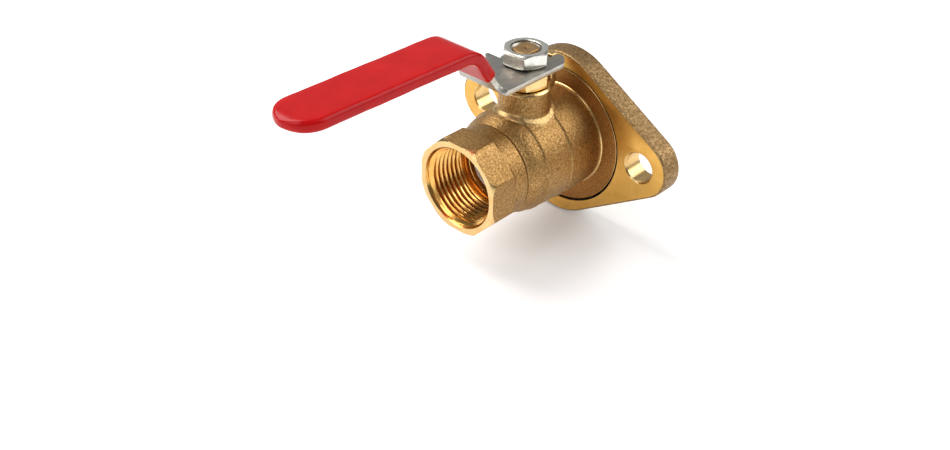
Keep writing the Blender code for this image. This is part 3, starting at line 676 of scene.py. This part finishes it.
# --------------------------------------------------------------- stem and gland
def stem():
    flat = 3.9
    corner = math.asin(flat / 5.0)
    low = [corner * k / 7 for k in range(8)]
    high = [corner + (math.pi / 2 - corner) * k / 8 for k in range(1, 9)]
    quarter = low + high
    angles = quarter + [math.pi - a for a in reversed(quarter[:-1])] + [math.pi + a for a in quarter[1:]] + [TAU - a for a in reversed(quarter[1:-1])]

    def tang(angle):
        c, s = abs(math.cos(angle)), abs(math.sin(angle))
        return min(2.5 / max(c, 1e-9), 4.6 / max(s, 1e-9))

    def double_d(radius, half=flat):
        return lambda a: min(radius, half / max(abs(math.sin(a)), 1e-9))

    def threaded(z, low_z, high_z):
        fade = min(1.0, max(0.0, (z - low_z) / 0.8), 1.0) * min(1.0, max(0.0, (high_z - z) / 0.6))

        def radius(a):
            phase = (z / 1.5 - a / TAU) % 1.0
            return min(5.0 - 0.75 * abs(2 * phase - 1) * fade, flat / max(abs(math.sin(a)), 1e-9))

        return radius

    rings = [(13.2, lambda a: tang(a) * 0.9, 0), (13.6, tang, 0), (17.3, tang, 0), (17.3, 6.3, 0), (17.5, 6.6, 0), (18.0, 6.6, 0), (18.0, 5.5, 0), (19.3, 5.5, 0), (19.3, 6.6, 0), (19.55, 6.6, 0), (19.7, 6.4, 0), (19.7, 5.0, 0)]
    rings += [(23.0, 5.0, 0), (30.0, 5.0, 0), (37.3, 5.0, 0), (37.5, 4.8, 0), (37.5, double_d(4.95), 0), (40.0, double_d(4.95), 0)]
    z = 40.1
    while z < 44.75:
        rings.append((z, threaded(z, 40.1, 44.9), 0))
        z += 0.12
    rings += [(44.85, double_d(4.98), 1), (45.22, double_d(4.96, 3.88), 1), (45.35, double_d(4.86, 3.8), 1), (45.4, double_d(4.74, 3.7), 1)]
    rings += [(45.4, double_d(3.0, 3.0), 1), (45.4, 0.62, 1), (45.36, 0.52, 2), (44.9, 0.3, 2), (44.6, 0.08, 2)]
    piece = lathe("stem_turned", "Z", STEM, rings, angles, False, [GLAND, STEM_END, GAP], 40)
    keep(piece, "handle", "stem_brass", "stem")


def hex_nut(name, inradius, offset, z0, z1, bore, top_drop, bottom_drop, mats, thread=1.5, mouth=0.0):
    count = 192
    hexagon = polygon_radius(inradius, 6, offset, inradius / math.cos(math.pi / 6) - 0.10)
    face = inradius - 0.12
    rings = []
    z = z0 + 0.85
    rings += [(z0, bore + 0.85, 0), (z0, face - 0.5, 0), (z0 + 0.03, face - 0.1, 0), (lambda a: z0 + bottom_drop * (hexagon(a) - face), lambda a: hexagon(a) - 0.05, 0), (lambda a: z0 + 0.12 + bottom_drop * (hexagon(a) - face), hexagon, 0)]
    for f in (0.25, 0.5, 0.75):
        rings.append((z0 + (z1 - z0) * f, hexagon, 0))
    rings += [(lambda a: z1 - 0.12 - top_drop * (hexagon(a) - face), hexagon, 1), (lambda a: z1 - top_drop * (hexagon(a) - face), lambda a: hexagon(a) - 0.05, 1), (z1 - 0.03, face - 0.02, 1), (z1, face - 0.12, 1), (z1, bore + 1.6, 1), (z1, bore + 0.95 + 0.42 * mouth, 1), (z1 - 0.22 * mouth - 0.01, bore + 0.95, 1)]
    z = z1 - 0.05 - 0.25 * mouth
    while z > z0 + 0.05:
        def radius(a, z=z):
            phase = (z / thread - a / TAU) % 1.0
            root = bore + 0.55 * abs(2 * phase - 1)
            return max(root, bore + 0.95 - max(z1 - z - mouth, 0.0), bore + 0.95 - (z - z0) * 1.0)
        rings.append((z, radius, 2))
        z -= 0.125
    return lathe(name, "Z", STEM, rings, even(count, offset), True, mats, 36)


def gland():
    nut = hex_nut("packing_nut_head", 8.25, math.radians(15), 30.7, 37.2, 5.3, 0.5, 0.45, [GLAND, GLAND, GLAND], thread=2.0)
    sleeve = soften([(27.7, 5.3, 0.1, 0), (27.7, 7.1, 0.4, 0), (30.95, 7.1, 0, 0), (30.95, 5.3, 0, 0)], True, 3)
    neck = lathe("packing_nut_sleeve", "Z", STEM, [(z, r, 0) for z, r, _ in sleeve], even(96), True, [GLAND])
    cut_with(nut, neck, "UNION")
    slots(nut, [GLAND])
    paint(nut, lambda c, n: 0)
    nut.data.shade_smooth()
    nut.data.set_sharp_from_angle(angle=math.radians(36))
    keep(nut, "valve_body", "gland_brass", "packing_nut")
    for node, low, high in (("packing_ring_lower", 23.6, 24.75), ("packing_ring_middle", 24.95, 26.1), ("packing_ring_upper", 26.3, 27.45)):
        loop = soften([(low, 5.25, 0.15, 0), (low, 7.15, 0.2, 0), (high, 7.15, 0.2, 0), (high, 5.25, 0.15, 0)], True, 3)
        keep(lathe(node + "_cut", "Z", STEM, loop, even(96), True, [PACKING], 40), "valve_body", "packing_polymer", node)
    loop = soften([(19.95, 5.25, 0.1, 0), (19.95, 6.6, 0.1, 0), (20.75, 6.6, 0.1, 0), (20.75, 5.25, 0.1, 0)], True, 2)
    keep(lathe("thrust_washer_cut", "Z", STEM, loop, even(96), True, [WASHER], 40), "valve_body", "washer_polymer", "stem_thrust_washer")


def o_rings():
    for name, axis, centre, along, radius, cord, body, node in (
        ("flange_ring_cord", "X", AXIS, 7.0, 28.85, 0.5, "valve_body", "flange_o_ring"),
        ("joint_ring_cord", "X", AXIS, 48.25, 16.3, 0.55, "valve_body", "body_joint_o_ring"),
        ("stem_ring_cord", "Z", STEM, 18.65, 6.2, 0.55, "handle", "stem_o_ring"),
    ):
        rings = [(along + cord * math.cos(TAU * k / 20), radius + cord * math.sin(TAU * k / 20), 0) for k in range(20)]
        keep(lathe(name, axis, centre, rings, even(144), True, [RUBBER], 60), body, "black_rubber", node)


# --------------------------------------------------------------- lever
def lever_path(fine=1):
    rise, tilt = math.radians(56.0), math.radians(1.18)
    foot = Vector((23.5, 38.75))
    head = Vector((23.5 + (58.42 - 38.75) / math.tan(rise), 58.42))
    points = []

    def arc(vertex, radius, a0, a1, count):
        cut = radius * math.tan(abs(a1 - a0) / 2)
        start = vertex - cut * Vector((math.cos(a0), math.sin(a0)))
        side = 1 if a1 > a0 else -1
        centre = start + radius * side * Vector((-math.sin(a0), math.cos(a0)))
        for k in range(count + 1):
            a = a0 + (a1 - a0) * k / count
            p = centre - radius * side * Vector((-math.sin(a), math.cos(a)))
            points.append((p.x, p.y, a))

    arc(foot, 4.7, 0.0, rise, 4 * fine)
    arc(head, 10.0, rise, tilt, 5 * fine)
    points.append((117.6, 58.42 + (117.6 - head.x) * math.tan(tilt), tilt))
    out, total = [], 0.0
    for i, (x, z, a) in enumerate(points):
        if i:
            total += math.hypot(x - points[i - 1][0], z - points[i - 1][1])
        out.append((total, x, z, a))
    return out


PATH = lever_path(3)
LENGTH = PATH[-1][0]
HALF_T = 1.05


def on_path(distance):
    distance = min(max(distance, 0.0), LENGTH)
    for (s0, x0, z0, a0), (s1, x1, z1, a1) in zip(PATH, PATH[1:]):
        if distance <= s1:
            f = (distance - s0) / (s1 - s0)
            return (x0 + f * (x1 - x0), z0 + f * (z1 - z0), a0 + f * (a1 - a0))
    return PATH[-1][1:]


def section(distance, corners):
    x, z, a = on_path(distance)
    return [(STEM_X + x - h * math.sin(a), y, z + h * math.cos(a)) for y, h in corners]


def rounded_outline(points, steps=5):
    """A closed outline with its corners rounded. A point is (x, y, radius)."""
    return [(x, y) for x, y, _ in soften([(x, y, r, 0) for x, y, r in points], True, steps)]


def handle_lever():
    stop, cut_r = 4.6, 9.9
    start_x = PATH[0][1]
    cut_from = math.pi + math.asin(-stop / cut_r)
    cut_to = 1.5 * math.pi + math.asin(stop / cut_r)
    points = [(-8.8, 11.5, 1.8), (-12.6, 8.7, 1.6), (-13.7, 6.6, 1.3), (-13.4, stop, 0.9)]
    points += [(cut_r * math.cos(cut_from + (cut_to - cut_from) * k / 40), cut_r * math.sin(cut_from + (cut_to - cut_from) * k / 40), 0.0) for k in range(41)]
    points += [(stop, -14.75, 0.5), (5.6, -15.45, 0.5), (6.9, -14.3, 0.8), (8.6, -12.45, 2.0), (10.4, -11.5, 2.0)]
    soft = soften([(start_x, 11.4, 0, 0)] + [(x, y, r, 0) for x, y, r in points] + [(start_x, -11.4, 0, 0)], False, 5)
    outline = [(STEM_X + x, y) for x, y, _ in soft]
    n = len(outline)
    z0, z1 = 37.7, 39.8
    verts = [(x, y, z0) for x, y in outline] + [(x, y, z1) for x, y in outline]
    faces = [tuple(range(n)), tuple(range(n, 2 * n))] + [(k, k + 1, n + k + 1, n + k) for k in range(n - 1)]
    end = LENGTH - 1.8

    def half(s):
        t = 1 - min(max((s - 2.0) / 5.5, 0.0), 1.0)
        width = 9.05 + (11.4 - 9.05) * t**2
        over = s - (end - 9.05)
        return math.sqrt(max(9.05**2 - over**2, 0.09)) if over > 0 else width

    stations = sorted([s for s, *_ in PATH[1:-1]] + [2.6, 3.3, 4.6, 5.2, 6.5, 7.5, 10.5] + [end - 9.05 * (1 - math.sin(math.pi / 2 * k / 10)) for k in range(11)])
    rows = [[n - 1, 0, n, 2 * n - 1]]
    for s in stations:
        w = half(s)
        base = len(verts)
        verts += section(s, [(-w, -HALF_T), (w, -HALF_T), (w, HALF_T), (-w, HALF_T)])
        rows.append([base, base + 1, base + 2, base + 3])
    for a, b in zip(rows, rows[1:]):
        faces += [(a[k], a[(k + 1) % 4], b[(k + 1) % 4], b[k]) for k in range(4)]
    faces.append(tuple(rows[-1]))
    lever = new_object("handle_lever_pressed", verts, faces, [ZINC])
    hole_angles = even(96)
    hole = lathe("stem_hole", "Z", STEM, [(30.0, lambda a: min(5.3, 4.2 / max(abs(math.sin(a)), 1e-9)), 0), (45.0, lambda a: min(5.3, 4.2 / max(abs(math.sin(a)), 1e-9)), 0)], hole_angles, False, [ZINC])
    cut_with(lever, hole)
    soften_edges(lever, 0.15, 2, 45)
    lever.data.shade_smooth()
    lever.data.set_sharp_from_angle(angle=math.radians(38))
    slots(lever, [ZINC, SHEARED])

    def choose(c, nrm):
        x = c.x - STEM_X
        if x < start_x + 0.1:
            return 1 if abs(nrm.z) < 0.8 else 0
        return 1 if abs(nrm.y) > 0.55 else 0

    paint(lever, choose)
    keep(lever, "handle", "zinc_steel", "handle_lever")


def lever_sleeve():
    start, half, thick = 11.4, 10.6, 2.45
    inner_end = LENGTH - 1.8 + 0.3

    def width_of(s, full, end):
        over = s - (end - full)
        return math.sqrt(max(full**2 - over**2, 0.0)) if over > 0 else full

    def taper(s):
        return 0.85 * max(0.0, 1.0 - (s - start) / 4.5) ** 1.4

    def ring(w, t, r, count=7):
        """A rounded section, walked once round."""
        r = min(r, 0.98 * w, 0.98 * t)
        out = []
        for cx, cy, a0 in ((w - r, t - r, 0.0), (-w + r, t - r, math.pi / 2), (-w + r, -t + r, math.pi), (w - r, -t + r, 1.5 * math.pi)):
            for k in range(count):
                a = a0 + math.pi / 2 * k / (count - 1)
                out.append((cx + r * math.cos(a), cy + r * math.sin(a)))
            if cx > 0 and cy > 0 or cx < 0 and cy < 0:
                side = 1 if cx > 0 else -1
                for f in (0.75, 0.5, 0.25, 0.0, -0.25, -0.5, -0.75):
                    out.append((side * f * (w - r), side * t))
        return out

    bends = [s for s, *_ in PATH if s > start + 1.2 and s < LENGTH - half - 2]
    straight_from = max(bends)
    body = bends + [straight_from + (LENGTH - half - straight_from) * k / 22 for k in range(1, 22)]
    tip = [LENGTH - half + half * math.sin(math.pi / 2 * k / 14) for k in range(14)]
    verts, faces, rows = [], [], []

    def row(points):
        rows.append(len(verts))
        verts.extend(points)
        return len(points)

    n = 0
    inside = sorted([start] + [s for s in body if s < inner_end - 9.8] + [inner_end - 9.35 + 9.35 * math.sin(math.pi / 2 * k / 8) for k in range(8)])
    for s in reversed(inside):
        w = max(width_of(s, 9.35, inner_end), 0.6)
        n = row(section(s, ring(w, HALF_T + 0.28, 0.4)))
    # The mouth: a rolled lip where the dip ended
    for ds, grow in ((0.0, -0.75), (-0.02, -0.35), (0.08, -0.12), (0.35, 0.0), (0.8, 0.02), (1.3, 0.0)):
        n = row(section(start + max(ds, 0.0), ring(half + grow - taper(start + max(ds, 0.0)), thick + grow, 1.55 + 0.5 * grow)))
    for s in body:
        wave = 0.04 * math.sin(s * 0.21) + 0.03 * math.sin(s * 0.53 + 1.0)
        n = row(section(s, ring(half - 0.05 + wave - taper(s), thick - 0.05 + 0.5 * wave, 1.6)))
    for s in tip:
        w = width_of(s, half, LENGTH)
        f = (s - (LENGTH - half)) / half
        t = thick * math.sqrt(max(1 - (max(f - 0.55, 0.0) / 0.47) ** 2 * 0.75, 0.05))
        n = row(section(s, ring(max(w, 0.5), t - 0.05, 1.6 + 0.5 * f)))
    n = row(section(LENGTH, ring(1.4, 0.75, 0.7)))
    for a, b in zip(rows, rows[1:]):
        faces += [(a + k, a + (k + 1) % n, b + (k + 1) % n, b + k) for k in range(n)]
    faces += [tuple(rows[0] + k for k in range(n)), tuple(rows[-1] + k for k in range(n))]
    sleeve = new_object("lever_sleeve_dip", verts, faces, [VINYL], None, 60)
    keep(sleeve, "handle", "red_vinyl", "lever_sleeve")


def handle_nut():
    nut = hex_nut("handle_nut_forged", 8.25, math.radians(7.7), 40.1, 45.85, 5.05, 0.58, 0.5, [BRIGHT, BRIGHT, ZINC], thread=1.5, mouth=0.85)
    keep(nut, "handle", "bright_steel", "handle_nut")


valve_body()
end_adapter()
pump_flange()
ball()
seats()
stem()
gland()
o_rings()
handle_lever()
lever_sleeve()
handle_nut()


# --------------------------------------------------------------- studio
def stage_floor():
    size, z = 4.0, -0.0362
    verts = [(-size, -size, z), (size, -size, z), (size, size, z), (-size, size, z)]
    mesh = bpy.data.meshes.new("studio_floor")
    mesh.from_pydata(verts, [], [(0, 1, 2, 3)])
    n = Nodes("studio_paper")
    tone = n.noise(3.0, 2.0, 0.5)
    mat = n.finish(n.ramp(tone, [(0.3, (0.90, 0.90, 0.90)), (0.7, (0.92, 0.92, 0.92))]), None, None, Roughness=0.9, Metallic=0.0, Specular_IOR_Level=0.1, Emission_Color=(1.0, 1.0, 1.0, 1.0), Emission_Strength=0.22)
    mesh.materials.append(mat)
    floor = bpy.data.objects.new("studio_floor", mesh)
    bpy.context.scene.collection.objects.link(floor)


def area(name, at, to, size, power, colour=(1, 1, 1), ratio=1.0):
    light = bpy.data.lights.new(name, "AREA")
    light.shape = "RECTANGLE"
    light.size, light.size_y = size, size * ratio
    light.energy = power
    light.color = colour
    obj = bpy.data.objects.new(name, light)
    obj.location = at
    obj.rotation_euler = (Vector(to) - Vector(at)).to_track_quat("-Z", "Y").to_euler()
    bpy.context.scene.collection.objects.link(obj)


def studio():
    middle = (0.05, 0.0, 0.01)
    area("key_softbox", (-0.62, 0.62, 0.66), middle, 0.9, 7.8)
    area("left_top_softbox", (0.18, -0.60, 0.92), middle, 0.8, 11.0)
    area("front_fill", (0.95, 0.00, 0.60), middle, 0.7, 5.0)
    area("back_fill", (-0.62, -0.60, 0.60), middle, 1.0, 0.9)
    world = bpy.data.worlds.new("studio_world")
    bpy.context.scene.world = world
    world.use_nodes = True
    world.node_tree.nodes["Background"].inputs["Color"].default_value = (1.0, 1.0, 1.0, 1.0)
    world.node_tree.nodes["Background"].inputs["Strength"].default_value = 0.13
    view = bpy.context.scene.view_settings
    view.view_transform = "Standard"
    view.look = "None"
    view.exposure = 0.0


def camera():
    data = bpy.data.cameras.new("camera")
    data.sensor_width = 36.0
    data.lens = 1350.0 / 950.0 * 36.0
    data.shift_x = (475.0 - 480.10) / 950.0
    data.shift_y = (148.06 - 225.0) / 950.0
    data.clip_start = 0.01
    data.clip_end = 20.0
    obj = bpy.data.objects.new("camera", data)
    forward = Vector((-0.63340, -0.58547, -0.50599)).normalized()
    down = Vector((0.36272, 0.35297, -0.86247)).normalized()
    right = down.cross(forward).normalized()
    up = (-down).normalized()
    rotation = Matrix((right, up, -forward)).transposed().to_4x4()
    obj.matrix_world = Matrix.Translation(Vector((377.71, 297.18, 268.96)) * MM) @ rotation
    bpy.context.scene.collection.objects.link(obj)
    bpy.context.scene.camera = obj


stage_floor()
studio()
camera()
